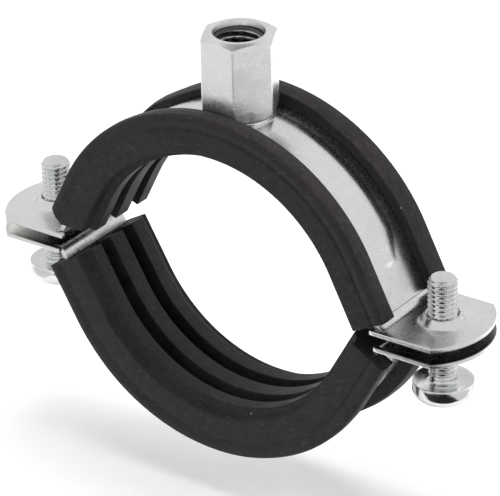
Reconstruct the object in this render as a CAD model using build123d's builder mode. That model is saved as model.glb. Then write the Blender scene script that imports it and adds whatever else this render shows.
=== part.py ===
from build123d import *
import os
from math import cos, radians, sin, sqrt, tan

# Two-piece pipe clamp: two pressed steel half straps, each lined with ribbed rubber, closed by
# two pan head screws, and hung from a hexagonal connection nut welded on the upper half.
# Origin: middle of the gap between the ears, on the clamp's long axis. X runs across the ears,
# Y along the pipe, Z up to the connection nut. Millimetres.

# steel straps
strap_width = 20.0
strap_thickness = 1.0
strap_radius = 36.2            # pipe side of the strap, from the centre of its arc
crown_height = 0.7             # pressed stiffening crown, an arch along the middle of the strap
crown_width = 9.2
crown_end_run = 4.0            # the crown ends this far along the straight run

# how each half is bent: the centre of its arc lies beyond the ear gap, so the closed ring is
# a little flatter than a circle until the halves are spread over a pipe
ear_gap = 2.4                  # between the two ears at rest
upper_arc_drop = 3.47          # from the upper ear's face to the centre of the upper arc
lower_arc_drop = 5.18
upper_half_wrap = 63.5         # degrees of arc each side of the middle
lower_half_wrap = 59.8
left_upper_bend_radius = 0.5   # inside radius of the bend between strap and ear
right_upper_bend_radius = 2.0
lower_bend_radius = 2.0

# ears
ear_pitch = 95.0               # between the two screw axes
ear_root_run = 9.8             # from the screw axis in to the shoulders of the upper ears
lower_ear_root_run = 8.9
ear_corner_run = 4.5           # from the screw axis out to the corners where the rounded end starts
ear_end_run = 9.6              # from the screw axis out to the ear's tip
ear_width = 22.6

# rubber lining: a channel that grips the strap's edges, with three ribs towards the pipe
pipe_radius = 30.4             # the rib tips lie on the pipe
lining_fit = 0.05              # between rubber and steel in the channel
lining_width = 23.4
lining_base = 1.8              # rubber under the strap between the ribs
left_upper_lining_gap = 5.9    # from the lining's end, along the straight run, to the ear's face
right_upper_lining_gap = 2.0
lower_lining_gap = 2.9
lip_to_nut = 0.1               # the lips' inner edges pass close to the connection nut's corner
lip_height = 2.8               # of the lip over the strap
bead_rise = 0.35               # how much the lip swells over its inner edge
bead_swell = 0.1               # how far the lip stands out past the side face
crease_depth = 0.25
side_face_depth = 4.3          # of the side face below the strap's pipe side
side_notch = 0.9               # between the side face and the outer rib
outer_rib_reach = 8.6          # from the middle to the outer edge of an outer rib's tip
outer_rib_tip = 3.3
outer_rib_root = 4.9           # from the middle to the inner foot of an outer rib
middle_rib_tip = 4.1
middle_rib_root = 5.0

# connection nut
nut_flats = 14.2
nut_turn = -3.7                # degrees; the flats are welded on not quite square to the strap
nut_top = 52.7                 # above the middle of the ear gap
nut_rim_radius = 6.1           # left flat at the nut's top by the chamfer
nut_chamfer_angle = 24.0
nut_foot_radius = 6.8          # left flat at the nut's foot by its own steeper chamfer
nut_foot_chamfer_angle = 45.0
nut_pad_radius = 7.1           # flat round pad of the strap that the nut stands on
thread_minor_radius = 4.25     # M10 tapping hole
thread_major_radius = 5.05
mouth_radius = 5.3
mouth_depth = 1.3              # of the smooth mouth above the thread
thread_lead_in = 0.8           # the thread's first turn tapers over this depth

# screws and their holes
screw_radius = 3.0             # M6
screw_length = 22.5            # under the head
screw_tip_chamfer = 0.6
screw_stand_off = 8.4          # from the head's seat to the lower ear at rest
head_radius = 6.2
head_height = 4.3
head_rim_height = 1.8
head_flat_radius = 3.6
head_round_radius = 4.0
drive_slot_length = 9.6
drive_slot_width = 1.3
drive_slot_depth = 1.5
drive_cross_length = 5.4
drive_cross_width = 1.1
drive_cross_depth = 2.6
collar_fit = 0.05              # between the screw and the tapped collar
ear_hole_fit = 0.35            # between the screw and the lower ear's hole
collar_height = 1.8
collar_base_radius = 4.8
collar_top_radius = 3.7

ear_face = ear_gap / 2
screw_x = ear_pitch / 2
nut_corner = nut_flats / sqrt(3)           # from the nut's axis to its corners
nut_reach = nut_corner * cos(radians(30 - abs(nut_turn)))
lip_reach = nut_reach + lip_to_nut         # from the middle of the strap to the lip's inner edge
strap_outside = strap_radius + strap_thickness
upper_arc_centre = ear_face - upper_arc_drop
lower_arc_centre = ear_face - lower_arc_drop

# each half is drawn away from the gap: local x is across the ears, local y leaves the gap
upper_plane = Plane.XZ
lower_plane = Plane(origin=(0, 0, 0), x_dir=(1, 0, 0), z_dir=(0, 1, 0))


def tangent_point(arc_centre, wrap, radius):
    """End of the arc on the right-hand side, in the half's own plane."""
    return (radius * sin(radians(wrap)), arc_centre + radius * cos(radians(wrap)))


def straight_end(arc_centre, wrap, radius, run):
    """Point on the straight run that leaves the arc's end, on the right-hand side."""
    x, y = tangent_point(arc_centre, wrap, radius)
    return (x + run * cos(radians(wrap)), y - run * sin(radians(wrap)))


def left_of(point):
    return (-point[0], point[1])


def run_to_ear(arc_centre, wrap):
    """Length of the straight run from the arc's end to the ear's gap face."""
    arc_end = tangent_point(arc_centre, wrap, strap_radius)
    return (arc_end[1] - ear_face) / sin(radians(wrap))


def strap_profile(plane, arc_centre, wrap, left_bend_radius, right_bend_radius):
    """Side view of a half strap: ear, bend, straight run, arc, and the same back to the other ear."""
    arc_end = tangent_point(arc_centre, wrap, strap_radius)
    bend = straight_end(arc_centre, wrap, strap_radius, run_to_ear(arc_centre, wrap))
    ear_end = (screw_x, ear_face)
    with BuildSketch(plane) as profile:
        with BuildLine() as pipe_side:
            Polyline(left_of(ear_end), left_of(bend), left_of(arc_end))
            ThreePointArc(left_of(arc_end), (0, arc_centre + strap_radius), arc_end)
            Polyline(arc_end, bend, ear_end)
            left_bend, right_bend = pipe_side.vertices().group_by(Axis.Y)[0].sort_by(Axis.X)[1:-1]
            fillet(left_bend, left_bend_radius + strap_thickness)
            fillet(right_bend, right_bend_radius + strap_thickness)
            offset(amount=strap_thickness, side=Side.LEFT)
        make_face()
    return profile.sketch


def strap_path(plane, arc_centre, wrap, left_run, right_run):
    """Line along the strap's pipe side, between points on its left and right straight runs."""
    arc_end = tangent_point(arc_centre, wrap, strap_radius)
    with BuildLine(plane) as path:
        Line(left_of(straight_end(arc_centre, wrap, strap_radius, left_run)), left_of(arc_end))
        ThreePointArc(left_of(arc_end), (0, arc_centre + strap_radius), arc_end)
        Line(arc_end, straight_end(arc_centre, wrap, strap_radius, right_run))
    return path.wire()


def across(plane, path):
    """Plane across the path's start: local x along the pipe, local y away from the pipe."""
    return Plane(origin=path @ 0, x_dir=-plane.z_dir, z_dir=path % 0)


def ear_outline(root_run):
    """Plan view of the ears: square shoulders, parallel sides and rounded ends."""
    root_x = screw_x - root_run
    corner_x = screw_x + ear_corner_run
    tip_x = screw_x + ear_end_run
    half_ear = ear_width / 2
    with BuildSketch() as outline:
        with BuildLine():
            Polyline((corner_x, half_ear), (root_x, half_ear), (root_x, -half_ear),
                     (corner_x, -half_ear))
            ThreePointArc((corner_x, -half_ear), (tip_x, 0), (corner_x, half_ear))
        make_face()
        mirror(about=Plane.YZ)
    return outline.sketch


def crown_section(section_plane, foot_height):
    """Low arch along the middle of the strap, its foot at the given height."""
    foot = (crown_width / 2, foot_height)
    with BuildSketch(section_plane) as section:
        with BuildLine():
            Line(left_of(foot), foot)
            ThreePointArc(foot, (0, foot_height + crown_height), left_of(foot))
        make_face()
    return section.sketch


def lining_section(section_plane):
    """Rubber section: lips over the strap's edges, beads, creased side faces and three ribs."""
    slot_edge = strap_width / 2 + lining_fit
    slot_top = strap_thickness + lining_fit
    side = lining_width / 2
    lip_edge = (lip_reach, strap_thickness + lip_height)
    bead_start = ((lip_reach + side) / 2, lip_edge[1] + bead_rise)
    bead_end = (side + bead_swell, strap_thickness + lip_height / 2)
    crease = (side - crease_depth, strap_thickness)
    rib_tip = pipe_radius - strap_radius
    with BuildSketch(section_plane) as section:
        with BuildLine():
            Polyline((0, -lining_fit), (slot_edge, -lining_fit), (slot_edge, slot_top),
                     (lip_reach, slot_top), lip_edge, bead_start)
            ThreePointArc(bead_start, (side - bead_rise, lip_edge[1] - bead_rise / 2), bead_end)
            Polyline(bead_end, crease, (side, strap_thickness - 2 * crease_depth),
                     (side, -side_face_depth),
                     (side - side_notch, -side_face_depth + crease_depth),
                     (outer_rib_reach + side_notch, -side_face_depth - crease_depth),
                     (outer_rib_reach, rib_tip), (outer_rib_reach - outer_rib_tip, rib_tip),
                     (outer_rib_root, -lining_base), (middle_rib_root / 2, -lining_base),
                     (middle_rib_tip / 2, rib_tip), (0, rib_tip), (0, -lining_fit))
        make_face()
        mirror(about=Plane.YZ)
    return section.sketch


# --- upper strap, with a pad under the nut and a tapped collar drawn up from each ear
crown_top = upper_arc_centre + strap_outside + crown_height
upper_crown_path = strap_path(upper_plane, upper_arc_centre, upper_half_wrap,
                              crown_end_run, crown_end_run)
with BuildPart() as upper_strap:
    extrude(strap_profile(upper_plane, upper_arc_centre, upper_half_wrap,
                          left_upper_bend_radius, right_upper_bend_radius),
            amount=strap_width / 2, both=True)
    with Locations((0, 0, ear_face)):
        add(extrude(ear_outline(ear_root_run), amount=strap_thickness, mode=Mode.PRIVATE))
    sweep(crown_section(across(upper_plane, upper_crown_path), strap_thickness), upper_crown_path)
    sweep(crown_section(across(upper_plane, upper_crown_path), 0), upper_crown_path,
          mode=Mode.SUBTRACT)
    with Locations((0, 0, crown_top)):
        Cylinder(nut_pad_radius, strap_thickness, align=(Align.CENTER, Align.CENTER, Align.MAX))
    with Locations((-screw_x, 0, ear_face + strap_thickness), (screw_x, 0, ear_face + strap_thickness)):
        Cone(collar_base_radius, collar_top_radius, collar_height,
             align=(Align.CENTER, Align.CENTER, Align.MIN))
    with Locations((-screw_x, 0, ear_face), (screw_x, 0, ear_face)):
        Cylinder(screw_radius + collar_fit, strap_thickness + collar_height,
                 align=(Align.CENTER, Align.CENTER, Align.MIN), mode=Mode.SUBTRACT)
upper_strap.part.label = "upper_strap"

# --- lower strap, with a plain clearance hole in each ear
lower_crown_path = strap_path(lower_plane, lower_arc_centre, lower_half_wrap,
                              crown_end_run, crown_end_run)
with BuildPart() as lower_strap:
    extrude(strap_profile(lower_plane, lower_arc_centre, lower_half_wrap,
                          lower_bend_radius, lower_bend_radius),
            amount=strap_width / 2, both=True)
    with Locations((0, 0, -ear_face - strap_thickness)):
        add(extrude(ear_outline(lower_ear_root_run), amount=strap_thickness, mode=Mode.PRIVATE))
    sweep(crown_section(across(lower_plane, lower_crown_path), strap_thickness), lower_crown_path)
    sweep(crown_section(across(lower_plane, lower_crown_path), 0), lower_crown_path,
          mode=Mode.SUBTRACT)
    with Locations((-screw_x, 0, -ear_face), (screw_x, 0, -ear_face)):
        Cylinder(screw_radius + ear_hole_fit, strap_thickness,
                 align=(Align.CENTER, Align.CENTER, Align.MAX), mode=Mode.SUBTRACT)
lower_strap.part.label = "lower_strap"

# --- linings
upper_run = run_to_ear(upper_arc_centre, upper_half_wrap)
upper_lining_path = strap_path(upper_plane, upper_arc_centre, upper_half_wrap,
                               upper_run - left_upper_lining_gap, upper_run - right_upper_lining_gap)
with BuildPart() as upper_lining:
    sweep(lining_section(across(upper_plane, upper_lining_path)), upper_lining_path)
upper_lining.part.label = "upper_lining"

lower_run = run_to_ear(lower_arc_centre, lower_half_wrap)
lower_lining_path = strap_path(lower_plane, lower_arc_centre, lower_half_wrap,
                               lower_run - lower_lining_gap, lower_run - lower_lining_gap)
with BuildPart() as lower_lining:
    sweep(lining_section(across(lower_plane, lower_lining_path)), lower_lining_path)
lower_lining.part.label = "lower_lining"

# --- connection nut: a hexagon chamfered at both ends, standing on the strap's pad
nut_top_drop = (nut_corner - nut_rim_radius) * tan(radians(nut_chamfer_angle))
nut_foot_rise = (nut_corner - nut_foot_radius) * tan(radians(nut_foot_chamfer_angle))
with BuildPart() as connection_nut:
    with BuildSketch(Plane.XY.offset(crown_top)):
        RegularPolygon(nut_corner, 6, rotation=nut_turn)
    extrude(amount=nut_top - crown_top)
    with BuildSketch(Plane.XZ):
        with BuildLine():
            Polyline((0, crown_top), (nut_foot_radius, crown_top),
                     (nut_corner, crown_top + nut_foot_rise), (nut_corner, nut_top - nut_top_drop),
                     (nut_rim_radius, nut_top), (0, nut_top), close=True)
        make_face()
    revolve(axis=Axis.Z, mode=Mode.INTERSECT)
    with BuildSketch(Plane.XZ):
        with BuildLine():
            Polyline((0, crown_top), (thread_minor_radius, crown_top),
                     (thread_minor_radius, nut_top - mouth_depth - thread_lead_in),
                     (thread_major_radius, nut_top - mouth_depth), (mouth_radius, nut_top),
                     (0, nut_top), close=True)
        make_face()
    revolve(axis=Axis.Z, mode=Mode.SUBTRACT)
connection_nut.part.label = "connection_nut"

# --- screws, driven from below up into the collars
head_seat = -ear_face - strap_thickness - screw_stand_off
screws = []
for side_name, x in (("left", -screw_x), ("right", screw_x)):
    screw_axis = Plane(origin=(x, 0, head_seat), x_dir=(1, 0, 0), z_dir=(0, -1, 0))
    head_end = Plane(origin=(x, 0, head_seat - head_height), x_dir=(1, 0, 0), z_dir=(0, 0, 1))
    with BuildPart() as screw:
        with BuildSketch(screw_axis):
            with BuildLine():
                Polyline((0, -head_height), (0, screw_length),
                         (screw_radius - screw_tip_chamfer, screw_length),
                         (screw_radius, screw_length - screw_tip_chamfer), (screw_radius, 0),
                         (head_radius, 0), (head_radius, -head_rim_height))
                RadiusArc((head_radius, -head_rim_height), (head_flat_radius, -head_height),
                          head_round_radius)
                Line((head_flat_radius, -head_height), (0, -head_height))
            make_face()
        revolve(axis=Axis((x, 0, 0), (0, 0, 1)))
        with BuildSketch(head_end):
            Rectangle(drive_slot_length, drive_slot_width)
        extrude(amount=drive_slot_depth, mode=Mode.SUBTRACT)
        with BuildSketch(head_end):
            Rectangle(drive_cross_length, drive_cross_width)
            Rectangle(drive_cross_width, drive_cross_length)
        extrude(amount=drive_cross_depth, mode=Mode.SUBTRACT)
    screw.part.label = "screw_" + side_name
    screws.append(screw.part)

os.makedirs("parts", exist_ok=True)
for part in (upper_strap.part, lower_strap.part, upper_lining.part, lower_lining.part,
             connection_nut.part, *screws):
    export_step(part, "parts/" + part.label + ".step")
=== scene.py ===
import math

import bmesh
import bpy
import numpy as np
from mathutils import Matrix, Vector, noise


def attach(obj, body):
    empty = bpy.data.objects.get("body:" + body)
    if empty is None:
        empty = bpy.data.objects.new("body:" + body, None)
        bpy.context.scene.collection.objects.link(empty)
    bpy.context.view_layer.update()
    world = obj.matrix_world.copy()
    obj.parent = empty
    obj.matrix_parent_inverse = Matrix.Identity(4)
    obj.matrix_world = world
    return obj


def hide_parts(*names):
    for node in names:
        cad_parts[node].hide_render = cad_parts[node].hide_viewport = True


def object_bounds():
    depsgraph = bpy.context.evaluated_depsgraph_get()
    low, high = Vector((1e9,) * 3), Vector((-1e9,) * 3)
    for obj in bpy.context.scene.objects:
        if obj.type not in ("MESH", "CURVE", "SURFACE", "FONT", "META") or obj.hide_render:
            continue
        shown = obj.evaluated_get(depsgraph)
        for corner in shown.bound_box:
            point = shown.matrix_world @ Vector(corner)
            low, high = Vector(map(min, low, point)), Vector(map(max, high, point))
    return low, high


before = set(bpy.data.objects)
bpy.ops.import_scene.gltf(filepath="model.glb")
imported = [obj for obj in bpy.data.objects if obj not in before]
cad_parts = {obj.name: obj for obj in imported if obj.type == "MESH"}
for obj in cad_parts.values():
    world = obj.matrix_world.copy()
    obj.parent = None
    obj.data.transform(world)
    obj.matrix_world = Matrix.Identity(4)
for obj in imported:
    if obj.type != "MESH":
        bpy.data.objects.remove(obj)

print("frame loaded")
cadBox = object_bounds()
mm = 0.001


# camera, first, so that every piece can be judged through it
cameraView = {
    "place": (0.51189, -0.69482, 0.44891),
    "azimuth": 36.312,  # degrees from -Y towards +X
    "elevation": 27.228,
    "roll": -1.577,
    "focalPixels": 4850.2,
    "imageWidth": 500,
    "sensor": 36.0,
    "clip": (0.05, 20.0),
}


def newObject(name, data):
    made = bpy.data.objects.new(name, data)
    bpy.context.scene.collection.objects.link(made)
    return made


def placeCamera(view):
    azimuth, elevation, roll = (math.radians(view[k]) for k in ("azimuth", "elevation", "roll"))
    back = Vector((math.sin(azimuth) * math.cos(elevation),
                   -math.cos(azimuth) * math.cos(elevation), math.sin(elevation)))
    right = Vector((math.cos(azimuth), math.sin(azimuth), 0))
    up = back.cross(right)
    turnedRight = right * math.cos(roll) + up * math.sin(roll)
    turnedUp = up * math.cos(roll) - right * math.sin(roll)
    camera = newObject("camera", bpy.data.cameras.new("camera"))
    camera.data.sensor_width = view["sensor"]
    camera.data.lens = view["focalPixels"] * view["sensor"] / view["imageWidth"]
    camera.data.clip_start, camera.data.clip_end = view["clip"]
    turn = Matrix((turnedRight, turnedUp, back)).transposed().to_4x4()
    camera.matrix_world = Matrix.Translation(view["place"]) @ turn
    bpy.context.scene.camera = camera


placeCamera(cameraView)
bpy.context.scene.view_settings.view_transform = "Standard"
print("camera placed")


# shared mesh helpers, lengths in millimetres until a piece is made
meshCare = {
    "weld": 1e-7,  # points nearer than this become one, metres
    "degenerate": 1e-8,
    "sharpAngle": 32,  # edges that turn more than this stay crisp, degrees
    "cornerReach": 0.48,  # share of an edge that one rounded corner may take
}


def smoothStep(low, high, value):
    t = np.clip((np.asarray(value, float) - low) / (high - low), 0, 1)
    return t * t * (3 - 2 * t)


def makePiece(name, points, faces, sharpAngle=meshCare["sharpAngle"]):
    mesh = bpy.data.meshes.new(name)
    mesh.from_pydata((np.asarray(points, float) * mm).tolist(), [], faces)
    shape = bmesh.new()
    shape.from_mesh(mesh)
    bmesh.ops.remove_doubles(shape, verts=shape.verts, dist=meshCare["weld"])
    bmesh.ops.dissolve_degenerate(shape, dist=meshCare["degenerate"], edges=shape.edges)
    bmesh.ops.recalc_face_normals(shape, faces=shape.faces)
    shape.to_mesh(mesh)
    shape.free()
    mesh.validate()
    mesh.shade_smooth()
    mesh.set_sharp_from_angle(angle=math.radians(sharpAngle))
    return newObject(name, mesh)


def bridge(faces, first, second, closed=True):
    # quads between two rows of point numbers
    count = len(first)
    for i in range(count if closed else count - 1):
        j = (i + 1) % count
        faces.append((first[i], first[j], second[j], second[i]))


def ringPoints(angles, x, radius, height):
    # a level ring about an upright axis at x; its radius and height may change round it
    radius, height, angles = np.broadcast_arrays(radius, height, angles)
    return np.stack([x + radius * np.cos(angles), radius * np.sin(angles), height], axis=1)


def joinRows(count, sides, closed):
    # faces between rows of points that follow each other, and from the last to the first when closed
    faces = []
    for i in range(count if closed else count - 1):
        j = (i + 1) % count
        bridge(faces, range(i * sides, (i + 1) * sides), range(j * sides, (j + 1) * sides))
    return faces


def roundedCorners(corners, steps):
    # closed outline from (x, y, radius) corners, each rounded by its radius
    outline = []
    count = len(corners)
    for i in range(count):
        here = Vector(corners[i][:2])
        toLast = Vector(corners[i - 1][:2]) - here
        toNext = Vector(corners[(i + 1) % count][:2]) - here
        angle = toLast.angle(toNext)
        reach = min(corners[i][2] / math.tan(angle / 2),
                    meshCare["cornerReach"] * toLast.length, meshCare["cornerReach"] * toNext.length)
        start = here + toLast.normalized() * reach
        end = here + toNext.normalized() * reach
        for k in range(steps + 1):
            t = k / steps
            outline.append(start * (1 - t) ** 2 + here * (2 * t * (1 - t)) + end * t ** 2)
    return np.array([tuple(p) for p in outline])


def outwardNormals(loop):
    # unit normals of a closed 2-D loop that runs anticlockwise
    along = np.roll(loop, -1, axis=0) - np.roll(loop, 1, axis=0)
    normals = np.stack([along[:, 1], -along[:, 0]], axis=1)
    return normals / np.maximum(np.linalg.norm(normals, axis=1), meshCare["degenerate"])[:, None]


# the line that a half strap follows, on its pipe side
strapSheet = {
    "radius": 36.2,
    "thickness": 1.0,
    "halfWidth": 10.0,
    "earFace": 1.2,
    "screwX": 47.5,
    "cornerX": 52.0,
    "tipX": 57.1,
    "halfEar": 11.3,
    "edgeRound": 0.14,
    "edgeSteps": 4,
    "slit": 0.28,  # relief between the strap's edge and the ear's shoulder
    "crownHeight": 0.7,
    "crownFoot": 4.75,
    "crownEndRun": 4.0,  # the crown ends this far along the straight run
    "crownFade": 7.0,  # length over which it dies away and narrows
    "crownEndFoot": 0.55,  # shares of its width and height left at the very end
    "crownEndHeight": 0.25,
    # rows of points across half the strap, as shares of its width, closest at the crown's foot
    "rowsAcross": [0, .05, .1, .15, .2, .24, .28, .32, .36, .4, .43, .45, .465, .475, .4815, .49, .51, .56,
                   .62, .68, .74, .8, .86, .91, .95, .98, 1],
    "arcRows": 84,
    "runRows": 22,
    "bendRows": 17,
    "shoulderSteps": 12,
    "tipSteps": 36,
    "wingSteps": 6,
    "holeRings": (.15, .3, .45, .6, .75, .88, 1),
}
# bend radii and lining ends: right-hand value, then left-hand
upperBend = {"side": 1, "centre": -2.27, "wrap": 63.5, "bendRadius": (2.0, 0.5), "liningGap": (2.0, 5.9),
             "earRootX": 37.7}
lowerBend = {"side": -1, "centre": -3.98, "wrap": 59.8, "bendRadius": (2.0, 2.0), "liningGap": (2.9, 2.9),
             "earRootX": 38.6}


def arcEndOf(bend):
    return strapSheet["radius"] * math.radians(bend["wrap"])


def runToEar(bend):
    wrap = math.radians(bend["wrap"])
    return (bend["centre"] + strapSheet["radius"] * math.cos(wrap) - strapSheet["earFace"]) / math.sin(wrap)


def stations(bend, hand):
    # arc lengths where the straight run and the bend end, and the place where the flat ear starts,
    # for the right hand (0) or the left (1)
    wrap = math.radians(bend["wrap"])
    bendOutside = bend["bendRadius"][hand] + strapSheet["thickness"]
    trim = bendOutside * math.tan(wrap / 2)
    straightEnd = arcEndOf(bend) + runToEar(bend) - trim
    earStart = strapSheet["radius"] * math.sin(wrap) + runToEar(bend) * math.cos(wrap) + trim
    return straightEnd, straightEnd + bendOutside * wrap, earStart


def onStrap(bend, along, across, height):
    # place of points given by length along the strap, place across it and height over its pipe side
    along, across, height = np.broadcast_arrays(along, across, height)
    wrap = math.radians(bend["wrap"])
    radius = strapSheet["radius"]
    arcEnd = arcEndOf(bend)
    onLeft = along < 0
    straightEnd, bendEnd, earStart = (np.where(onLeft, left, right) for right, left
                                      in zip(stations(bend, 0), stations(bend, 1)))
    bendOutside = np.where(onLeft, bend["bendRadius"][1], bend["bendRadius"][0]) + strapSheet["thickness"]
    s = np.abs(along)
    lean = np.clip(s / radius, 0, wrap)
    x = radius * np.sin(lean)
    z = bend["centre"] + radius * np.cos(lean)
    straight = np.clip(s, arcEnd, straightEnd) - arcEnd
    x = x + straight * math.cos(wrap)
    z = z - straight * math.sin(wrap)
    remains = wrap - np.clip((s - straightEnd) / bendOutside, 0, wrap)
    inBend = s > straightEnd
    x = x + np.where(inBend, bendOutside * (math.sin(wrap) - np.sin(remains)), 0)
    z = z + np.where(inBend, bendOutside * (math.cos(wrap) - np.cos(remains)), 0)
    x = x + np.maximum(s - bendEnd, 0)
    lean = np.where(inBend, remains, lean)
    x = x + np.sin(lean) * height
    z = z + np.cos(lean) * height
    return np.stack([np.where(onLeft, -x, x), across, bend["side"] * z], axis=-1)


def onEar(bend, along, across, height):
    # the same for points in the flat plane of an ear, which runs on past the bend
    along, across, height = np.broadcast_arrays(along, across, height)
    right, left = (stations(bend, hand) for hand in (0, 1))
    shift = np.where(along < 0, left[2] - left[1], right[2] - right[1])
    x = np.abs(along) + shift
    return np.stack([np.sign(along) * x, across, bend["side"] * (strapSheet["earFace"] + height)], axis=-1)


def crownRise(bend, along, across):
    # height of the pressed arch: full along the arc, narrowing and dying away at its ends
    sheet = strapSheet
    endRun = arcEndOf(bend) + sheet["crownEndRun"]
    fade = 1 - smoothStep(endRun - sheet["crownFade"], endRun, np.abs(along))
    foot = sheet["crownFoot"] * (sheet["crownEndFoot"] + (1 - sheet["crownEndFoot"]) * fade)
    share = np.clip(np.abs(across) / foot, 0, 1)
    height = sheet["crownHeight"] * (sheet["crownEndHeight"] + (1 - sheet["crownEndHeight"]) * fade)
    return height * (1 - share ** 2) * (fade > 0)


def earEdge(earStart, inset):
    # one ear's outline from the bend round the tip and back, as (x, y)
    sheet = strapSheet
    side, end = sheet["shoulderSteps"], sheet["tipSteps"]
    half = sheet["halfEar"] - inset
    tip = sheet["tipX"] - inset
    reach = tip - sheet["cornerX"]
    arcRadius = (half * half + reach * reach) / (2 * reach)
    centreX = tip - arcRadius
    span = math.atan2(half, sheet["cornerX"] - centreX)
    edge = [(earStart + (sheet["cornerX"] - earStart) * k / side, half) for k in range(side)]
    for k in range(end + 1):
        angle = span * (1 - 2 * k / end)
        edge.append((centreX + arcRadius * math.cos(angle), arcRadius * math.sin(angle)))
    return edge + [(x, -y) for x, y in reversed(edge[:side])]


def buildStrap(name, bend, holeProfile, pad=None):
    sheet = strapSheet
    inset = sheet["edgeRound"]
    thickness = sheet["thickness"]
    arcEnd = arcEndOf(bend)
    half = sheet["rowsAcross"]
    spread = np.array([-f for f in reversed(half[1:])] + half) * (sheet["halfWidth"] - inset)
    runs = []
    for hand in (0, 1):
        straightEnd, bendEnd, _ = stations(bend, hand)
        runs.append(np.concatenate([np.linspace(0, arcEnd, sheet["arcRows"]),
                                    np.linspace(arcEnd, straightEnd, sheet["runRows"])[1:],
                                    np.linspace(straightEnd, bendEnd, sheet["bendRows"])[1:]]))
    run = np.concatenate([-runs[1][:0:-1], runs[0]])
    plan = [(s, y) for s in run for y in spread]
    rows, columns = len(run), len(spread)
    cells = [(i * columns + j, (i + 1) * columns + j, (i + 1) * columns + j + 1, i * columns + j + 1)
             for i in range(rows - 1) for j in range(columns - 1)]
    bentCount = len(plan)
    holes = []
    edges = []
    wingInner = sheet["halfWidth"] + sheet["slit"] + inset
    wingSteps = sheet["wingSteps"]
    for sign, column, hand in ((1, rows - 1, 0), (-1, 0, 1)):
        _, bendEnd, earStart = stations(bend, hand)
        rootX = bend["earRootX"] + inset
        rootRow = [column * columns + j for j in range(columns)]
        if sign < 0:
            rootRow = rootRow[::-1]
        centre = np.array([sign * (bendEnd + sheet["screwX"] - earStart), 0.0])

        # the left ear is the right one turned half round, so its rows run the same way
        def lay(outline):
            first = len(plan)
            plan.extend((sign * (bendEnd + x - earStart), sign * y) for x, y in outline)
            return list(range(first, len(plan)))

        outer = earEdge(earStart, inset)
        wingHalf = outer[0][1]
        edgeRow = lay(outer)
        inward = [earStart + (rootX - earStart) * k / wingSteps for k in range(wingSteps + 1)]
        wings = []
        for flip in (1, -1):
            inner = lay([(x, flip * wingInner) for x in inward])
            rim = lay([(x, flip * wingHalf) for x in inward[1:]])
            rim = [edgeRow[0] if flip > 0 else edgeRow[-1]] + rim
            bridge(cells, inner, rim, closed=False)
            wings.append((inner, rim))
        (innerNear, rimNear), (innerFar, rimFar) = wings
        loop = rootRow + [innerNear[0]] + edgeRow + [innerFar[0]]
        outside = np.array([plan[i] for i in loop])
        away = outside - centre
        inside = centre + holeProfile[0][0] * away / np.linalg.norm(away, axis=1)[:, None]
        last = loop
        for t in sheet["holeRings"]:
            row = list(range(len(plan), len(plan) + len(loop)))
            plan += [tuple(p) for p in outside + (inside - outside) * t]
            bridge(cells, last, row)
            last = row
        holes.append((centre, last))
        edges.append(innerNear + rimNear[:0:-1] + edgeRow + rimFar[1:] + innerFar[::-1])
    plan = np.array(plan)
    count = len(plan)

    def lift(points, flat, height):
        bent = onStrap(bend, points[:, 0], points[:, 1], height)
        level = onEar(bend, points[:, 0], points[:, 1], height)
        return np.where(flat[:, None], level, bent)

    flat = np.arange(count) >= bentCount
    rise = np.where(flat, 0, crownRise(bend, plan[:, 0], plan[:, 1]))
    points = [lift(plan, flat, thickness + rise), lift(plan, flat, rise)]
    faces = list(cells) + [tuple(count + i for i in reversed(cell)) for cell in cells]
    total = 2 * count
    # outer edge, rounded: down the far side, round one ear, back and round the other
    loop = ([i * columns for i in range(rows)] + edges[0][::-1]
            + [i * columns + columns - 1 for i in range(rows - 1, -1, -1)] + edges[1][::-1])
    loopPlan = plan[loop]
    normals = outwardNormals(loopPlan)
    last = loop
    profile = [(inset * math.sin(a), thickness - inset * (1 - math.cos(a)))
               for a in np.linspace(0, math.pi / 2, sheet["edgeSteps"] + 1)[1:]]
    profile += [(d, thickness - h) for d, h in reversed(profile)]
    for out, height in profile:
        points.append(lift(loopPlan + normals * out, flat[loop], height))
        row = list(range(total, total + len(loop)))
        total += len(loop)
        bridge(faces, last, row)
        last = row
    bridge(faces, last, [count + i for i in loop])
    # holes: from the top ring through the profile to the under side
    for centre, ring in holes:
        away = plan[ring] - centre
        away /= np.linalg.norm(away, axis=1)[:, None]
        last = ring
        for radius, height, rough in holeProfile[1:]:
            wobble = np.array([noise.noise(Vector((a[0] * tornRim["scale"] + centre[0],
                                                   a[1] * tornRim["scale"], height))) for a in away]) * rough
            ringPlan = centre + away * (radius + tornRim["outward"] * wobble)[:, None]
            points.append(onStrap(bend, ringPlan[:, 0], ringPlan[:, 1], height + wobble))
            row = list(range(total, total + len(ring)))
            total += len(ring)
            bridge(faces, last, row)
            last = row
        # the under side keeps its own ring: a flat band joins it to the hole's lower rim
        bridge(faces, last, [count + i for i in ring])
    if pad:
        # flat round pad pressed up from the sheet, closed below inside the sheet's thickness
        sides, rings = pad["sides"], len(pad["profile"])
        angles = np.arange(sides) * 2 * math.pi / sides
        points += [ringPoints(angles, 0, radius, level) for radius, level in pad["profile"]]
        shell = joinRows(rings, sides, False)
        shell += [range(sides), range(rings * sides - 1, (rings - 1) * sides - 1, -1)]
        faces += [tuple(total + i for i in face) for face in shell]
    return makePiece(name, np.concatenate(points), faces)


tornRim = {
    "scale": 4,  # how closely the tears follow each other round the hole
    "outward": 0.4,  # how much of each tear goes sideways
}
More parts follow.
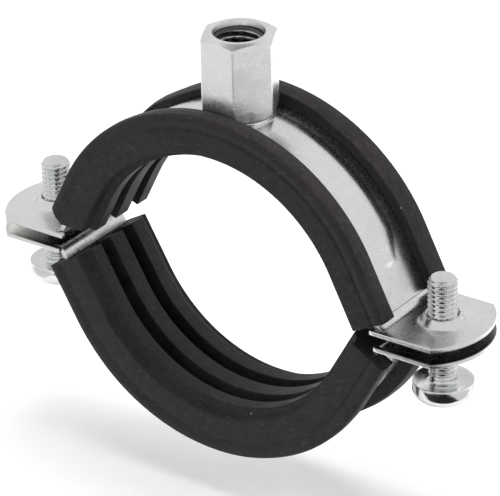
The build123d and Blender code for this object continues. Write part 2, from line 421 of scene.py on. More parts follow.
# hole profiles: radius, height over the ear's gap side, roughness of the torn rim
collarProfile = [(6.0, 1.0, 0), (5.4, 1.0, 0), (5.0, 1.04, 0), (4.75, 1.12, 0), (4.5, 1.3, 0),
                 (4.3, 1.55, 0), (4.12, 1.85, 0), (3.98, 2.15, .02), (3.88, 2.4, .05), (3.8, 2.6, .1),
                 (3.68, 2.72, .14),
                 (3.5, 2.76, .16), (3.3, 2.7, .14), (3.14, 2.58, .08), (3.06, 2.4, 0), (3.06, 1.2, 0),
                 (3.06, .5, 0), (3.12, .25, 0), (3.28, .07, 0), (3.5, 0, 0)]
plainProfile = [(3.5, 1.0, 0), (3.42, .97, 0), (3.36, .88, 0), (3.35, .5, 0), (3.36, .12, 0), (3.42, .03, 0)]

nutPad = {
    "sides": 120,
    # radius and level, from the top down
    "profile": [(6.9, 35.63), (7.02, 35.6), (7.08, 35.53), (7.1, 35.4), (7.1, 35.0), (7.1, 34.65)],
}

upperStrap = buildStrap("upperStrap", upperBend, collarProfile, nutPad)
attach(upperStrap, "upper_half")
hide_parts("upper_strap")
lowerStrap = buildStrap("lowerStrap", lowerBend, plainProfile)
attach(lowerStrap, "lower_half")
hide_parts("lower_strap")
print("straps made")


# rubber linings
liningShape = {
    "arcStations": 150,
    "runStations": 26,
    "cornerSteps": 5,
    "sharpAngle": 40,
    "endRound": 0.14,
    "endSteps": (0, .3, .6, .85),
    "waver": 0.035,  # how unevenly the rubber lies
    "swayScale": 0.06,  # how quickly it wavers sideways and up, for each millimetre along
    "riseScale": 0.11,
    "lipHeight": (1.0, 3.5),  # heights between which a lip starts to waver
    "lean": 0.75,  # how far the back lip leans in, away from the nut
    "leanAlong": (9.0, 17.0),
    "leanInner": (6.5, 7.3),  # places across that lean, from none to full and back to none
    "leanOuter": (7.6, 11.0),
    "leanHeight": (1.1, 3.6),
    "sink": 1.1,  # how far the back lip sinks to the left of the nut
    "sinkAt": -15.0,
    "sinkLength": 11.0,
    "sinkHeight": (1.3, 3.4),
    "bulge": 2.2,  # the upper lining's short left end stands out this far at the strap's level
    "bulgeAt": 0.9,
    "bulgeSpread": 2.3,
    "bulgeReach": 6.0,
    "bulgeAcross": (6, 9),
}
# right half of the section: place across, height over the strap's pipe side, corner radius
liningCorners = [(10.05, -.05, .1), (10.05, 1.05, .15), (7.45, 1.05, .1), (7.45, 3.8, .35), (9.6, 4.13, 2),
                 (11.64, 4.1, 1.3), (11.79, 2.5, 1.2), (11.42, .98, .1), (11.68, .6, .3), (11.66, -4.3, .3),
                 (10.8, -4.05, .12), (9.5, -4.55, .35), (8.6, -5.8, .3), (5.3, -5.8, .22), (4.9, -1.8, .4),
                 (2.5, -1.8, .4), (2.05, -5.8, .22)]


def buildLining(name, bend, seed):
    shape = liningShape
    corners = [(-y, h, r) for y, h, r in reversed(liningCorners)] + liningCorners
    # round the whole section once, anticlockwise
    section = roundedCorners(corners[::-1], shape["cornerSteps"])
    area = np.sum(section[:, 0] * np.roll(section[:, 1], -1) - np.roll(section[:, 0], -1) * section[:, 1])
    if area < 0:
        section = section[::-1]
    normals = outwardNormals(section)
    arcEnd = arcEndOf(bend)
    right, left = (arcEnd + runToEar(bend) - gap for gap in bend["liningGap"])
    run = np.concatenate([np.linspace(-left, -arcEnd, shape["runStations"])[:-1],
                          np.linspace(-arcEnd, arcEnd, shape["arcStations"]),
                          np.linspace(arcEnd, right, shape["runStations"])[1:]])
    rounding = shape["endRound"]
    ends = [(rounding * (1 - math.sqrt(max(0, 1 - (1 - k) ** 2))), rounding * (1 - k))
            for k in shape["endSteps"]]
    points = []
    rings = []
    for s, inset in ([(-left + step, inset) for step, inset in ends] + [(s, 0) for s in run[1:-1]]
                     + [(right - step, inset) for step, inset in reversed(ends)]):
        ring = section - normals * inset
        across, height = ring[:, 0], ring[:, 1]
        lipWeight = smoothStep(*shape["lipHeight"], height)
        sway = shape["waver"] * noise.noise(Vector((s * shape["swayScale"], seed, 0)))
        rise = shape["waver"] * lipWeight * noise.noise(Vector((s * shape["riseScale"], seed + 7, 0)))
        rings.append(list(range(len(points) * len(section), (len(points) + 1) * len(section))))
        place = across + sway * lipWeight
        drawn = s
        if bend["side"] > 0:
            away = float(smoothStep(*shape["leanAlong"], abs(s)))
            inner = smoothStep(*shape["leanInner"], across) * (1 - smoothStep(*shape["leanOuter"], across))
            place = place - shape["lean"] * away * inner * smoothStep(*shape["leanHeight"], height)
            sunk = math.exp(-((s - shape["sinkAt"]) / shape["sinkLength"]) ** 4)
            rise = rise - shape["sink"] * sunk * smoothStep(*shape["sinkHeight"], height) * (across > 0)
            nearEnd = float(smoothStep(left - shape["bulgeReach"], left, -s))
            swell = np.exp(-((height - shape["bulgeAt"]) / shape["bulgeSpread"]) ** 2)
            drawn = s - shape["bulge"] * nearEnd * swell * smoothStep(*shape["bulgeAcross"], np.abs(across))
        points.append(onStrap(bend, drawn, place, height + rise))
    faces = []
    for first, second in zip(rings, rings[1:]):
        bridge(faces, first, second)
    faces.append(tuple(reversed(rings[0])))
    faces.append(tuple(rings[-1]))
    return makePiece(name, np.concatenate(points), faces, shape["sharpAngle"])


upperLining = buildLining("upperLining", upperBend, 3)
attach(upperLining, "upper_half")
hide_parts("upper_lining")
lowerLining = buildLining("lowerLining", lowerBend, 11)
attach(lowerLining, "lower_half")
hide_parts("lower_lining")
print("linings made")


# connection nut
nutShape = {
    "flats": 14.2,
    "turn": -3.7,
    "cornerRound": 0.45,
    "top": 52.7,
    "rim": 6.1,
    "chamfer": 24.0,
    "foot": 35.63,
    "footRim": 6.8,
    "footChamfer": 45.0,
    "minor": 4.25,
    "major": 5.0,
    "pitch": 1.5,
    "mouth": 5.3,
    "mouthLow": 5.06,
    "mouthDepth": 1.3,
    "mouthRings": [(.15, -.005), (.03, -.06), (-.04, -.2)],  # past the mouth's radius, over the top
    "soften": 0.12,  # of the edges between the flats and the chamfers
    "hair": 0.02,
    "footRows": (.4, .8),
    "flatRows": (0, .004, *np.linspace(.07, .93, 13), .996, 1),  # close at the ends, so the flats stay flat
    "chamferRows": (.04, .3, .6, .9),
    "faceRadius": (5.6, 5.8),  # of the rings inside the foot's and the top's flat faces
    "turnRows": 14,  # rows for one turn of thread
    "toothGain": 1.35,
    "toothLow": 0.12,
    "threadStart": 0.9,  # the thread fades in over this depth
    "threadEnd": (.4, 1.4),  # and out between these heights over the foot
    "boredFoot": 2.0,  # below this height the wall has the bore's own radius
    "sides": 144,
    "sharpAngle": 24,
}


def hexagonReach(angle, flats, cornerRound):
    # distance from the axis to a rounded hexagon whose corners point along +X and -X
    sixth = math.pi / 3
    local = (angle % sixth) - sixth / 2
    flat = flats / 2
    reach = flat / np.cos(local)
    # corner arc, met by a ray
    centre = (flat - cornerRound) / math.cos(sixth / 2)
    toCorner = sixth / 2 - np.abs(local)
    under = cornerRound ** 2 - (centre * np.sin(toCorner)) ** 2
    arc = centre * np.cos(toCorner) + np.sqrt(np.maximum(under, 0))
    return np.where((under > 0) & (arc < reach), arc, reach)


def buildNut(name):
    shape = nutShape
    sides = shape["sides"]
    angles = np.arange(sides) * 2 * math.pi / sides
    reach = hexagonReach(angles - math.radians(shape["turn"]), shape["flats"], shape["cornerRound"])
    drop = math.tan(math.radians(shape["chamfer"]))
    footDrop = math.tan(math.radians(shape["footChamfer"]))

    def ring(radius, height):
        return ringPoints(angles, 0, radius, height)

    def topAt(radius):
        return shape["top"] - np.maximum(radius - shape["rim"], 0) * drop

    def footAt(radius):
        return shape["foot"] + np.maximum(radius - shape["footRim"], 0) * footDrop

    foot, top, soften = shape["foot"], shape["top"], shape["soften"]
    rows = [ring(shape["minor"] + .05, foot), ring(shape["faceRadius"][0], foot),
            ring(shape["footRim"] - .1, foot), ring(shape["footRim"], foot + shape["hair"])]
    for t in shape["footRows"]:
        radius = shape["footRim"] + (reach - shape["footRim"]) * t
        rows.append(ring(radius, footAt(radius)))
    bottom = footAt(reach) + soften
    topEdge = topAt(reach) - soften
    rows.append(ring(reach - .05, footAt(reach - .05) + shape["hair"]))
    for t in shape["flatRows"]:
        rows.append(ring(reach, bottom + (topEdge - bottom) * t))
    rows += [ring(reach - .03, topEdge + .08), ring(reach - soften, topAt(reach - soften))]
    for t in shape["chamferRows"]:
        radius = reach - soften + (shape["rim"] - reach + soften) * t
        rows.append(ring(radius, topAt(radius)))
    rows += [ring(shape["rim"] - .05, top - .005), ring(shape["faceRadius"][1], top)]
    rows += [ring(shape["mouth"] + past, top + down) for past, down in shape["mouthRings"]]
    start = top - shape["mouthDepth"]
    rows.append(ring(shape["mouthLow"] + .03, start + .1))
    # threaded bore, down to the foot
    fadeLow, fadeHigh = shape["threadEnd"]
    for z in np.arange(start, foot + .3, -shape["pitch"] / shape["turnRows"]):
        turn = ((z / shape["pitch"] - angles / (2 * math.pi)) % 1)
        tooth = np.clip(shape["toothGain"] * (1 - np.abs(2 * turn - 1)) - shape["toothLow"], 0, 1)
        fade = float(smoothStep(foot + fadeLow, foot + fadeHigh, z))
        fade *= 1 - float(smoothStep(start - shape["threadStart"], start, z))
        wall = shape["minor"] if z < foot + shape["boredFoot"] else shape["mouthLow"]
        thread = shape["major"] + (shape["minor"] - shape["major"]) * tooth
        rows.append(ring(wall + (thread - wall) * fade, z))
    return makePiece(name, np.concatenate(rows), joinRows(len(rows), sides, True), shape["sharpAngle"])


connectionNut = buildNut("connectionNut")
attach(connectionNut, "upper_half")
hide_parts("connection_nut")
print("nut made")


# screws
screwShape = {
    "seat": -10.6,
    "length": 22.5,
    "radius": 3.0,
    "root": 2.42,
    "pitch": 1.0,
    "neck": 1.4,  # plain shank under the head
    "neckFade": 0.6,
    "neckRadius": 2.75,
    "headRadius": 6.2,
    "headHeight": 4.3,
    "headRim": 1.8,
    "headFlat": 3.6,
    "domeRows": 12,
    # rings as radius and height: over the seat, from the head's rim to the neck, and under the tip
    "seatRings": [(6.2, -.25), (6.15, -.1), (6.0, 0), (5.2, 0), (4.2, 0), (3.4, 0), (3.05, .06), (2.85, .2),
                  (2.75, .5)],
    "tipRings": [(2.4, -.01), (2.2, 0), (1.2, -.02), (0, -.03)],
    "tipChamfer": (2.45, .9),  # radius at the tip and its growth for each millimetre down
    "turnRows": 14,  # rows for one turn of thread
    "toothGain": 1.3,
    "toothLow": 0.08,
    "sides": 96,
    "sharpAngle": 30,
}


def buildScrew(name, x, turnDegrees):
    shape = screwShape
    sides = shape["sides"]
    angles = np.arange(sides) * 2 * math.pi / sides
    seat = shape["seat"]
    tip = seat + shape["length"]
    bottom = seat - shape["headHeight"]
    rimLow = seat - shape["headRim"]

    def ring(radius, height):
        return ringPoints(angles, x, radius, height)

    rows = [ring(.6, bottom), ring(shape["headFlat"] - .3, bottom)]
    # dome of the pan head
    for angle in np.linspace(0, 1, shape["domeRows"]) * math.pi / 2:
        rows.append(ring(shape["headFlat"] + (shape["headRadius"] - shape["headFlat"]) * math.sin(angle),
                         bottom + (rimLow - bottom) * (1 - math.cos(angle))))
    rows.append(ring(shape["headRadius"], rimLow + .5))
    rows += [ring(radius, seat + over) for radius, over in shape["seatRings"]]
    chamferRadius, chamferGrowth = shape["tipChamfer"]
    for z in np.arange(seat + .7, tip - .02, shape["pitch"] / shape["turnRows"]):
        turn = ((z / shape["pitch"] - angles / (2 * math.pi) + turnDegrees / 360) % 1)
        tooth = np.clip(shape["toothGain"] * (1 - np.abs(2 * turn - 1)) - shape["toothLow"], 0, 1)
        radius = shape["root"] + (shape["radius"] - shape["root"]) * tooth
        neckEnd = seat + shape["neck"]
        threaded = float(smoothStep(neckEnd - shape["neckFade"], neckEnd + shape["neckFade"], z))
        radius = shape["neckRadius"] + (radius - shape["neckRadius"]) * threaded
        rows.append(ring(np.minimum(radius, chamferRadius + chamferGrowth * (tip - z)), z))
    rows += [ring(radius, tip + over) for radius, over in shape["tipRings"][:-1]]
    points = list(np.concatenate(rows))
    faces = joinRows(len(rows), sides, False)
    low, high = len(points), len(points) + 1
    points += [np.array([x, 0, bottom]), np.array([x, 0, tip + shape["tipRings"][-1][1]])]
    lastRow = (len(rows) - 1) * sides
    for k in range(sides):
        j = (k + 1) % sides
        faces.append((low, j, k))
        faces.append((high, lastRow + k, lastRow + j))
    screw = makePiece(name, np.array(points), faces, shape["sharpAngle"])
    cutRecess(screw, x, bottom, turnDegrees)
    return screw


driveShape = {
    "slotLength": 9.6,
    "slotWidth": 1.3,
    "slotDepth": 1.5,
    "crossLength": 5.4,
    "crossWidth": 1.15,
    "crossDepth": 2.5,
    "crossTaper": 0.45,
    "below": 1.0,  # the cutter starts this far under the head
}


def cutRecess(screw, x, bottom, turnDegrees):
    shape = driveShape
    cutter = bmesh.new()

    def wedge(length, width, depth, taper, turn):
        corners = []
        for level, long, wide in ((0, 1, 1), (depth + shape["below"], 1 - taper, 1 - taper / 2)):
            for u, v in ((-1, -1), (1, -1), (1, 1), (-1, 1)):
                u, v = u * length / 2 * long, v * width / 2 * wide
                corners.append((x + u * math.cos(turn) - v * math.sin(turn),
                                u * math.sin(turn) + v * math.cos(turn), bottom - shape["below"] + level))
        verts = [cutter.verts.new(Vector(c) * mm) for c in corners]
        for f in ((0, 3, 2, 1), (4, 5, 6, 7), (0, 1, 5, 4), (1, 2, 6, 5), (2, 3, 7, 6), (3, 0, 4, 7)):
            cutter.faces.new([verts[i] for i in f])

    turn = math.radians(turnDegrees)
    wedge(shape["slotLength"], shape["slotWidth"], shape["slotDepth"], 0.0, turn)
    for crossTurn in (turn, turn + math.pi / 2):
        wedge(shape["crossLength"], shape["crossWidth"], shape["crossDepth"], shape["crossTaper"], crossTurn)
    mesh = bpy.data.meshes.new("recessCutter")
    bmesh.ops.recalc_face_normals(cutter, faces=cutter.faces)
    cutter.to_mesh(mesh)
    cutter.free()
    tool = newObject("recessCutter", mesh)
    cut = screw.modifiers.new("recess", "BOOLEAN")
    cut.operation = "DIFFERENCE"
    cut.object = tool
    cut.solver = "EXACT"
    cut.use_self = True
    depsgraph = bpy.context.evaluated_depsgraph_get()
    result = bpy.data.meshes.new_from_object(screw.evaluated_get(depsgraph))
    screw.modifiers.clear()
    screw.data = result
    result.shade_smooth()
    result.set_sharp_from_angle(angle=math.radians(screwShape["sharpAngle"]))
    bpy.data.objects.remove(tool)


screws = []
for screwName, screwX, body, node, turnDegrees in (
        ("screwLeft", -strapSheet["screwX"], "screw_left", "screw_left", 25),
        ("screwRight", strapSheet["screwX"], "screw_right", "screw_right", 70)):
    screw = buildScrew(screwName, screwX, turnDegrees)
    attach(screw, body)
    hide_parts(node)
    screws.append(screw)
print("screws made")


# effects that several materials share
def newGroup(name, inputs, outputs):
    # a value becomes a plain number socket, three of them a vector socket
    group = bpy.data.node_groups.new(name, "ShaderNodeTree")
    for socket, value in inputs.items():
        kind = "NodeSocketVector" if isinstance(value, tuple) else "NodeSocketFloat"
        group.interface.new_socket(socket, in_out="INPUT", socket_type=kind).default_value = value
    for socket in outputs:
        group.interface.new_socket(socket, in_out="OUTPUT", socket_type="NodeSocketFloat")
    return group, group.nodes.new("NodeGroupInput"), group.nodes.new("NodeGroupOutput")


def setInputs(node, values):
    for key, value in values.items():
        node.inputs[key].default_value = value


def addNode(tree, kind, values=None, **settings):
    node = tree.nodes.new(kind)
    for key, value in settings.items():
        setattr(node, key, value)
    setInputs(node, values or {})
    return node


def join(tree, source, target):
    tree.links.new(source, target)


def calculate(tree, operation, first, second=None, clamp=False):
    node = addNode(tree, "ShaderNodeMath", operation=operation, use_clamp=clamp)
    for i, value in enumerate((first, second)):
        if value is None:
            continue
        if isinstance(value, (int, float)):
            node.inputs[i].default_value = value
        else:
            join(tree, value, node.inputs[i])
    return node.outputs[0]


def times(tree, first, second, clamp=False):
    return calculate(tree, "MULTIPLY", first, second, clamp)


def plus(tree, first, second, clamp=False):
    return calculate(tree, "ADD", first, second, clamp)


def mixColours(tree, factor, first, second):
    node = addNode(tree, "ShaderNodeMix", data_type="RGBA")
    for socket, value in ((0, factor), (6, first), (7, second)):
        if isinstance(value, (int, float, tuple)):
            node.inputs[socket].default_value = value
        else:
            join(tree, value, node.inputs[socket])
    return node.outputs[2]


def addTexture(group, enter, kind, values=None, vector=None):
    # a texture in the piece's own place, at the group's Scale
    texture = addNode(group, kind, values)
    if vector is None:
        vector = addNode(group, "ShaderNodeTexCoord").outputs["Object"]
    join(group, vector, texture.inputs["Vector"])
    join(group, enter.outputs["Scale"], texture.inputs["Scale"])
    return texture


def addBand(group, value, low, high, **settings):
    # from 0 at low to 1 at high
    band = addNode(group, "ShaderNodeMapRange", **settings)
    for source, socket in ((value, "Value"), (low, "From Min"), (high, "From Max")):
        join(group, source, band.inputs[socket])
    return band.outputs["Result"]


def fineGrainGroup():
    # small even grain: a mask round 0.5 and a height
    group, enter, leave = newGroup("fineGrain", {"Scale": 2000.0, "Contrast": 1.0}, ("Mask", "Height"))
    grain = addTexture(group, enter, "ShaderNodeTexNoise", {"Detail": 3.0, "Roughness": 0.6})
    centred = calculate(group, "SUBTRACT", grain.outputs["Fac"], 0.5)
    scaled = times(group, centred, enter.outputs["Contrast"])
    join(group, plus(group, scaled, 0.5, clamp=True), leave.inputs["Mask"])
    join(group, scaled, leave.inputs["Height"])
    return group


def cloudGroup():
    # broad uneven patches, as handling and plating leave
    group, enter, leave = newGroup("broadPatches", {"Scale": 90.0, "Low": 0.4, "High": 0.65}, ("Mask",))
    cloud = addTexture(group, enter, "ShaderNodeTexNoise",
                       {"Detail": 5.0, "Roughness": 0.55, "Distortion": 0.4})
    mask = addBand(group, cloud.outputs["Fac"], enter.outputs["Low"], enter.outputs["High"],
                   interpolation_type="SMOOTHSTEP")
    join(group, mask, leave.inputs["Mask"])
    return group


def speckGroup():
    # scattered specks: dust on rubber, pits on steel
    group, enter, leave = newGroup("scatteredSpecks", {"Scale": 400.0, "Size": 0.1, "Share": 0.1},
                                   ("Mask",))
    cells = addTexture(group, enter, "ShaderNodeTexVoronoi")
    near = calculate(group, "LESS_THAN", cells.outputs["Distance"], enter.outputs["Size"])
    pick = addNode(group, "ShaderNodeSeparateColor")
    join(group, cells.outputs["Color"], pick.inputs["Color"])
    chosen = calculate(group, "LESS_THAN", pick.outputs["Red"], enter.outputs["Share"])
    join(group, times(group, near, chosen), leave.inputs["Mask"])
    return group


def scratchGroup():
    # short fine scratches in one direction
    group, enter, leave = newGroup("hairScratches", {"Scale": 120.0, "Turn": (0.3, 0.2, 0.9), "Level": 0.62},
                                   ("Mask",))
    place = addNode(group, "ShaderNodeTexCoord")
    turned = addNode(group, "ShaderNodeVectorRotate", rotation_type="EULER_XYZ")
    join(group, place.outputs["Object"], turned.inputs["Vector"])
    join(group, enter.outputs["Turn"], turned.inputs["Rotation"])
    # long in X, thin across it
    stretched = addNode(group, "ShaderNodeVectorMath", {1: (1.0, 14.0, 14.0)}, operation="MULTIPLY")
    join(group, turned.outputs["Vector"], stretched.inputs[0])
    lines = addTexture(group, enter, "ShaderNodeTexNoise", {"Detail": 2.0, "Roughness": 0.5},
                       stretched.outputs[0])
    level = enter.outputs["Level"]
    mask = addBand(group, lines.outputs["Fac"], level, plus(group, level, 0.06))
    join(group, mask, leave.inputs["Mask"])
    return group


fineGrain = fineGrainGroup()
broadPatches = cloudGroup()
scatteredSpecks = speckGroup()
hairScratches = scratchGroup()


def placeNow(tree, group, values):
    return addNode(tree, "ShaderNodeGroup", values, node_tree=group)


def newMaterial(name):
    material = bpy.data.materials.new(name)
    material.use_nodes = True
    tree = material.node_tree
    return material, tree, tree.nodes["Principled BSDF"]


def finishSurface(tree, surface, colour, rough, height, look):
    bump = addNode(tree, "ShaderNodeBump", {"Strength": look["bump"], "Distance": look["bumpDistance"]})
    join(tree, height, bump.inputs["Height"])
    for source, socket in ((colour, "Base Color"), (rough, "Roughness"), (bump.outputs["Normal"], "Normal")):
        join(tree, source, surface.inputs[socket])


# zinc plated steel
# marksAndShade picks the nut's weld marks, which come with painted shade in its bore, or the strap's painted
# shade in the ears' gap
zincFinish = {
    "strap": {"colour": (0.87, 0.87, 0.86, 1), "dull": (0.66, 0.66, 0.65, 1), "roughness": 0.20,
              "rougher": 0.30, "bump": 0.05, "grainScale": 900.0, "patchScale": 60.0, "marksAndShade": "gap"},
    "nut": {"colour": (0.88, 0.88, 0.87, 1), "dull": (0.72, 0.72, 0.71, 1), "roughness": 0.26,
            "rougher": 0.36, "bump": 0.06, "grainScale": 1100.0, "patchScale": 260.0, "marksAndShade": "weld"},
    "screw": {"colour": (0.80, 0.81, 0.80, 1), "dull": (0.55, 0.57, 0.56, 1), "roughness": 0.12,
              "rougher": 0.22, "bump": 0.04, "grainScale": 1300.0, "patchScale": 190.0, "marksAndShade": None},
}
# what all zinc shares: how strongly patches and grain grey it, its pits and its scratches
zincWear = {
    "patches": {"Low": 0.35, "High": 0.72},
    "patchShare": 0.5,
    "grainContrast": 1.6,
    "grainShare": 0.45,
    "grainRoughness": 0.12,
    "scratches": {"Scale": 160.0, "Turn": (0.4, 0.3, 1.1), "Level": 0.64},
    "scratchRoughness": 0.1,
    "scratchDepth": 0.4,
    "pits": {"Scale": 620.0, "Size": 0.17, "Share": 0.03},
    "pitColour": (0.16, 0.16, 0.155, 1),
    "pitShare": 0.7,
    "bumpDistance": 0.0001,
}
weldMarks = {
    "foot": 0.0356,  # level of the nut's foot, metres
    "reach": 0.0022,  # how far the grey climbs up the flats
    "ragged": 0.0014,
    "fade": 0.0007,
    "soot": {"Scale": 330.0, "Low": 0.3, "High": 0.7},
    "least": 0.25,  # share of the grey where the soot is thinnest, and what the soot adds
    "more": 0.6,
    "roughness": 0.25,
    "colour": (0.17, 0.17, 0.165, 1),
}
paintedBoreShade = {
    "radius": 0.00515,  # painted shade: inside this radius and below the level the nut's bore is painted dark
    "level": 0.05155,
    "crest": 0.0043,  # the painted shade is lighter on the ridges' crests
    "crestFade": 0.0002,
    "crestShare": 0.35,
    "colour": (0.045, 0.045, 0.044, 1),
    "share": 0.94,
}
# painted shade in the narrow gap between the ears, darkened in the strap's colour
paintedGapShade = {
    "level": 0.00137,  # the ears' sides of the gap, above and below the middle
    "start": -0.055,  # darker from the left ear's end inwards, and all along the right ear
    "run": 0.012,
    "colour": (0.07, 0.07, 0.068, 1),
    "share": 0.85,
}


def placeInPiece(tree):
    place = addNode(tree, "ShaderNodeTexCoord")
    spot = addNode(tree, "ShaderNodeSeparateXYZ")
    join(tree, place.outputs["Object"], spot.inputs[0])
    return place.outputs["Object"], spot


def addWeldMarks(tree, colour, rough):
    # grey round the nut's foot
    _, spot = placeInPiece(tree)
    soot = placeNow(tree, broadPatches, weldMarks["soot"])
    climb = plus(tree, weldMarks["foot"] + weldMarks["reach"],
                 times(tree, soot.outputs["Mask"], weldMarks["ragged"]))
    over = calculate(tree, "SUBTRACT", climb, spot.outputs["Z"])
    mark = times(tree, over, 1 / weldMarks["fade"], clamp=True)
    mark = times(tree, mark, plus(tree, weldMarks["least"],
                                  times(tree, soot.outputs["Mask"], weldMarks["more"])))
    return (mixColours(tree, mark, colour, weldMarks["colour"]),
            plus(tree, rough, times(tree, mark, weldMarks["roughness"]), clamp=True))


def addPaintedBoreShade(tree, colour):
    # painted shade: darkens the colour in the threaded bore, less so on the ridges' crests
    place, spot = placeInPiece(tree)
    flatPlace = addNode(tree, "ShaderNodeVectorMath", {1: (1, 1, 0)}, operation="MULTIPLY")
    join(tree, place, flatPlace.inputs[0])
    span = addNode(tree, "ShaderNodeVectorMath", operation="LENGTH")
    join(tree, flatPlace.outputs[0], span.inputs[0])
    radius = span.outputs["Value"]
    inBore = times(tree, calculate(tree, "LESS_THAN", radius, paintedBoreShade["radius"]),
                   calculate(tree, "LESS_THAN", spot.outputs["Z"], paintedBoreShade["level"]))
    groove = times(tree, calculate(tree, "SUBTRACT", radius, paintedBoreShade["crest"]), 1 / paintedBoreShade["crestFade"],
                   clamp=True)
    boreShaded = plus(tree, paintedBoreShade["crestShare"], times(tree, groove, 1 - paintedBoreShade["crestShare"]))
    boreShaded = times(tree, times(tree, inBore, boreShaded), paintedBoreShade["share"])
    return mixColours(tree, boreShaded, colour, paintedBoreShade["colour"])


def addPaintedGapShade(tree, colour):
    # painted shade: darkens the colour on the sides of the ears that face the gap, where shade falls in the
    # narrow gap
    _, spot = placeInPiece(tree)
    within = calculate(tree, "LESS_THAN", calculate(tree, "ABSOLUTE", spot.outputs["Z"]), paintedGapShade["level"])
    deep = times(tree, calculate(tree, "SUBTRACT", spot.outputs["X"], paintedGapShade["start"]),
                 1 / paintedGapShade["run"], clamp=True)
    shade = times(tree, times(tree, within, deep), paintedGapShade["share"])
    return mixColours(tree, shade, colour, paintedGapShade["colour"])


def zincMaterial(name, look):
    material, tree, surface = newMaterial(name)
    wear = zincWear
    patches = placeNow(tree, broadPatches, {"Scale": look["patchScale"], **wear["patches"]}).outputs["Mask"]
    grain = placeNow(tree, fineGrain, {"Scale": look["grainScale"], "Contrast": wear["grainContrast"]})
    scratches = placeNow(tree, hairScratches, wear["scratches"]).outputs["Mask"]
    pits = placeNow(tree, scatteredSpecks, wear["pits"]).outputs["Mask"]
    colour = mixColours(tree, times(tree, patches, wear["patchShare"]), look["colour"], look["dull"])
    colour = mixColours(tree, times(tree, grain.outputs["Mask"], wear["grainShare"]), colour, look["dull"])
    colour = mixColours(tree, times(tree, pits, wear["pitShare"]), colour, wear["pitColour"])
    rough = plus(tree, times(tree, patches, look["rougher"] - look["roughness"]), look["roughness"])
    rough = plus(tree, rough, times(tree, grain.outputs["Height"], wear["grainRoughness"]))
    rough = plus(tree, rough, times(tree, scratches, wear["scratchRoughness"]), clamp=True)
    if look["marksAndShade"] == "weld":
        colour, rough = addWeldMarks(tree, colour, rough)
        # painted shade in the nut's threaded bore
        colour = addPaintedBoreShade(tree, colour)
    # the strap's painted shade in the ears' gap
    elif look["marksAndShade"] == "gap":
        colour = addPaintedGapShade(tree, colour)
    height = calculate(tree, "SUBTRACT", grain.outputs["Height"],
                       times(tree, scratches, wear["scratchDepth"]))
    finishSurface(tree, surface, colour, rough, height, {**wear, **look})
    surface.inputs["Metallic"].default_value = 1.0
    return material


strapZinc = zincMaterial("zincStrap", zincFinish["strap"])
nutZinc = zincMaterial("zincNut", zincFinish["nut"])
screwZinc = zincMaterial("zincScrew", zincFinish["screw"])

# rubber
rubberFinish = {
    "colour": (0.0085, 0.0078, 0.0092, 1),
    "bloom": (0.042, 0.036, 0.036, 1),
    "roughness": 0.50,
    "rougher": 0.68,
    "shine": 0.22,
    "patches": {"Scale": 130.0, "Low": 0.3, "High": 0.75},
    "patchShare": 0.45,
    "mottle": {"Scale": 620.0, "Low": 0.3, "High": 0.75},
    "mottleShare": 0.35,
    "mottleHeight": 0.8,
    "grain": {"Scale": 1500.0, "Contrast": 1.5},
    "grainShare": 0.3,
    "scuffs": {"Scale": 90.0, "Turn": (0.1, 0.2, 0.4), "Level": 0.62},
    "scuffColour": (0.075, 0.070, 0.068, 1),
    "scuffShare": 0.3,
    "dust": {"Scale": 420.0, "Size": 0.11, "Share": 0.05},
    "dustColour": (0.34, 0.33, 0.32, 1),
    "dustShare": 0.5,
    "bump": 0.25,
    "bumpDistance": 0.00015,
}


def rubberMaterial(name, look):
    material, tree, surface = newMaterial(name)
    patches = placeNow(tree, broadPatches, look["patches"]).outputs["Mask"]
    mottle = placeNow(tree, broadPatches, look["mottle"]).outputs["Mask"]
    grain = placeNow(tree, fineGrain, look["grain"])
    scuffs = placeNow(tree, hairScratches, look["scuffs"]).outputs["Mask"]
    dust = placeNow(tree, scatteredSpecks, look["dust"]).outputs["Mask"]
    cloud = plus(tree, times(tree, patches, look["patchShare"]), times(tree, mottle, look["mottleShare"]))
    colour = mixColours(tree, cloud, look["colour"], look["bloom"])
    colour = mixColours(tree, times(tree, grain.outputs["Mask"], look["grainShare"]), colour, look["bloom"])
    colour = mixColours(tree, times(tree, scuffs, look["scuffShare"]), colour, look["scuffColour"])
    colour = mixColours(tree, times(tree, dust, look["dustShare"]), colour, look["dustColour"])
    rough = times(tree, patches, look["rougher"] - look["roughness"])
    rough = plus(tree, rough, look["roughness"], clamp=True)
    height = plus(tree, grain.outputs["Height"], times(tree, mottle, look["mottleHeight"]))
    finishSurface(tree, surface, colour, rough, height, look)
    surface.inputs["Specular IOR Level"].default_value = look["shine"]
    return material


liningRubber = rubberMaterial("liningRubber", rubberFinish)
for material, pieces in ((strapZinc, (upperStrap, lowerStrap)), (nutZinc, (connectionNut,)),
                         (screwZinc, screws), (liningRubber, (upperLining, lowerLining))):
    for piece in pieces:
        piece.data.materials.clear()
        piece.data.materials.append(material)
print("materials made")


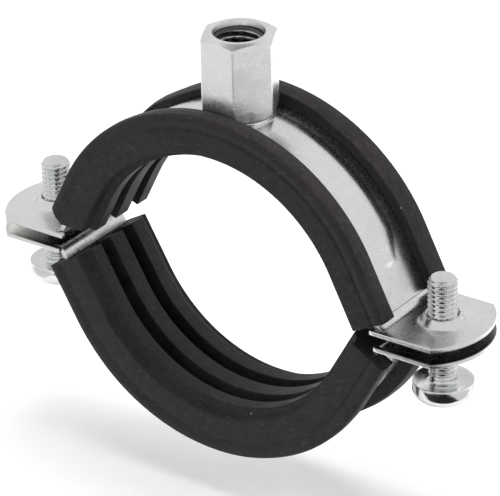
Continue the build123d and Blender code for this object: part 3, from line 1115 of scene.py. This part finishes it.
# floor, world and lamps
studio = {
    "floorDrop": 0.0098,  # the lower half comes down this far when it is slackened off
    "floorSize": 3.0,
    "floorColour": 0.80,
    "floorRoughness": 0.9,
    "floorGlow": 0.30,
    "worldLight": 0.28,  # what the surroundings give to matte surfaces
    "worldShine": 0.80,  # and what polished metal sees of them
    "lamps": {
        "topLamp": {"place": (0.10, 0.05, 0.75), "size": 0.60, "power": 5.0},
        "leftLamp": {"place": (-0.60, -0.40, 0.40), "size": 0.45, "power": 2.2},
        "rightLamp": {"place": (0.50, 0.55, 0.42), "size": 0.45, "power": 2.4},
    },
    # painted reflections: cards on the floor and overhead that only the polished metal sees: distances along
    # a direction from the middle, half the width, height over the floor, grey and glow
    "paintedReflectionCards": {
        # the dark card along the camera's direction puts a painted dark reflection on the metal
        "darkCard": {"azimuth": 36.3, "near": 0.055, "far": 0.40, "half": 0.08, "lift": 0.0006,
                     "grey": 0.015, "glow": 0.0},
        "greyCard": {"azimuth": 80.0, "near": 0.09, "far": 0.30, "half": 0.09, "lift": 0.0003,
                     "grey": 0.62, "glow": 0.0},
        "paleCard": {"azimuth": -44.0, "near": 0.09, "far": 0.30, "half": 0.09, "lift": 0.0003,
                     "grey": 0.66, "glow": 0.0},
        # the overhead card is a dim glowing sheet seen only in reflections, a painted darker reflection from
        # above
        "overheadCard": {"azimuth": 36.3, "near": -0.27, "far": 0.06, "half": 0.15, "lift": 0.60,
                         "grey": 0.0, "glow": 0.27},
    },
}


def stageSheet(name, corners, level, grey, roughness):
    # a flat matte sheet of the studio, whose glow is set afterwards
    mesh = bpy.data.meshes.new(name)
    mesh.from_pydata([(x, y, level) for x, y in corners], [], [(0, 1, 2, 3)])
    holder = newObject(name, mesh)
    material, tree, surface = newMaterial(name)
    setInputs(surface, {"Base Color": (grey, grey, grey, 1), "Roughness": roughness,
                        "Specular IOR Level": 0.0, "Emission Color": (1, 1, 1, 1)})
    mesh.materials.append(material)
    return holder, tree, surface


def buildStudio(look):
    size = look["floorSize"]
    level = cadBox[0][2] - look["floorDrop"]
    _, tree, surface = stageSheet("floor", [(-size, -size), (size, -size), (size, size), (-size, size)],
                                  level, look["floorColour"], look["floorRoughness"])
    path = addNode(tree, "ShaderNodeLightPath")
    seen = calculate(tree, "MAXIMUM", path.outputs["Is Camera Ray"], path.outputs["Is Glossy Ray"])
    seen = calculate(tree, "MAXIMUM", seen, path.outputs["Is Transmission Ray"])
    join(tree, times(tree, seen, look["floorGlow"]), surface.inputs["Emission Strength"])

    # painted reflections: each card is seen only by glossy rays and puts a dark, grey or dim patch in the
    # metal's reflections
    for name, card in look["paintedReflectionCards"].items():
        turn = math.radians(card["azimuth"])
        ahead, aside = Vector((math.sin(turn), -math.cos(turn))), Vector((math.cos(turn), math.sin(turn)))
        near, far, half = ahead * card["near"], ahead * card["far"], aside * card["half"]
        holder, tree, surface = stageSheet(name, (near - half, near + half, far + half, far - half),
                                           level + card["lift"], card["grey"], 1.0)
        surface.inputs["Emission Strength"].default_value = card["glow"]
        for ray in ("camera", "diffuse", "transmission", "shadow"):
            setattr(holder, "visible_" + ray, False)

    world = bpy.data.worlds.new("studioWorld")
    world.use_nodes = True
    bpy.context.scene.world = world
    tree = world.node_tree
    background = tree.nodes["Background"]
    background.inputs["Color"].default_value = (1, 1, 1, 1)
    path = addNode(tree, "ShaderNodeLightPath")
    seen = times(tree, path.outputs["Is Camera Ray"], 1 - look["worldLight"])
    shine = times(tree, path.outputs["Is Glossy Ray"], look["worldShine"] - look["worldLight"])
    strength = plus(tree, plus(tree, seen, shine), look["worldLight"])
    join(tree, strength, background.inputs["Strength"])

    for name, lamp in look["lamps"].items():
        light = bpy.data.lights.new(name, "AREA")
        light.shape = "DISK"
        light.size = lamp["size"]
        light.energy = lamp["power"]
        holder = newObject(name, light)
        holder.location = lamp["place"]
        holder.rotation_euler = (-Vector(lamp["place"])).to_track_quat("-Z", "Y").to_euler()
        holder.visible_glossy = False


buildStudio(studio)
print("studio built")
